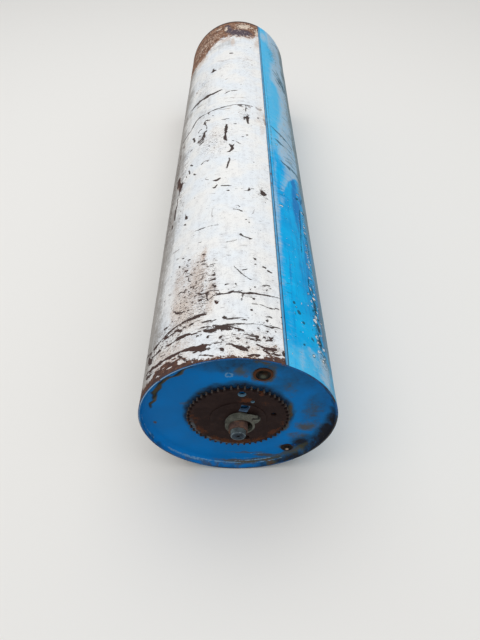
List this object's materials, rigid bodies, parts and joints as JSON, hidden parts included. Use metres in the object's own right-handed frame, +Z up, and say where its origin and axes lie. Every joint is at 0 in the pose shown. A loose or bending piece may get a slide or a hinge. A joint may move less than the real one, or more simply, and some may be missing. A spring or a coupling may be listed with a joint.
{
  "type": "seed treatment drum",
  "caption": "Closed steel drum that lies on its side, with recessed ends, stub shafts, a chain wheel at the drive end and screw plugs for filling and draining.",
  "frame": {"origin": "on the surface that the drum lies on, below the middle of its length and its axis", "axes": "+Y along the drum from the drive end to the idler end, +Z up, +X to the right as seen from the drive end"},
  "size_m": [0.6, 2.846, 0.5996],
  "materials": {
    "white_paint": "worn white paint, scratched through to rust",
    "blue_paint": "worn sky blue paint, chalky in places",
    "end_paint": "blue paint with rust stains and grime",
    "rusty_steel": "dark brown rust, orange at the edges",
    "hub_steel": "brown rust film on turned steel",
    "ring_steel": "dull grey-green steel",
    "shaft_steel": "bare turned steel, dulled",
    "socket_steel": "rusty threaded ring",
    "plug_steel": "dark dirty screw plug"
  },
  "bodies": {
    "root": {"skin_white": "white_paint", "skin_blue": "blue_paint", "upper_seam_weld": "blue_paint", "lower_seam_weld": "blue_paint", "drive_end_head": "end_paint", "idler_end_head": "end_paint", "drive_rim_weld": "end_paint", "idler_rim_weld": "end_paint", "drive_hub": "hub_steel", "idler_hub": "hub_steel", "drive_hub_weld": "end_paint", "idler_hub_weld": "end_paint", "drive_shaft": "shaft_steel", "idler_shaft": "shaft_steel", "chain_wheel": "rusty_steel", "hub_plate": "rusty_steel", "locking_ring": "ring_steel", "filler_socket": "socket_steel", "filler_plug": "plug_steel", "drain_socket": "socket_steel", "drain_plug": "plug_steel", "drain_lug": "end_paint"}
  },
  "joints": []
}
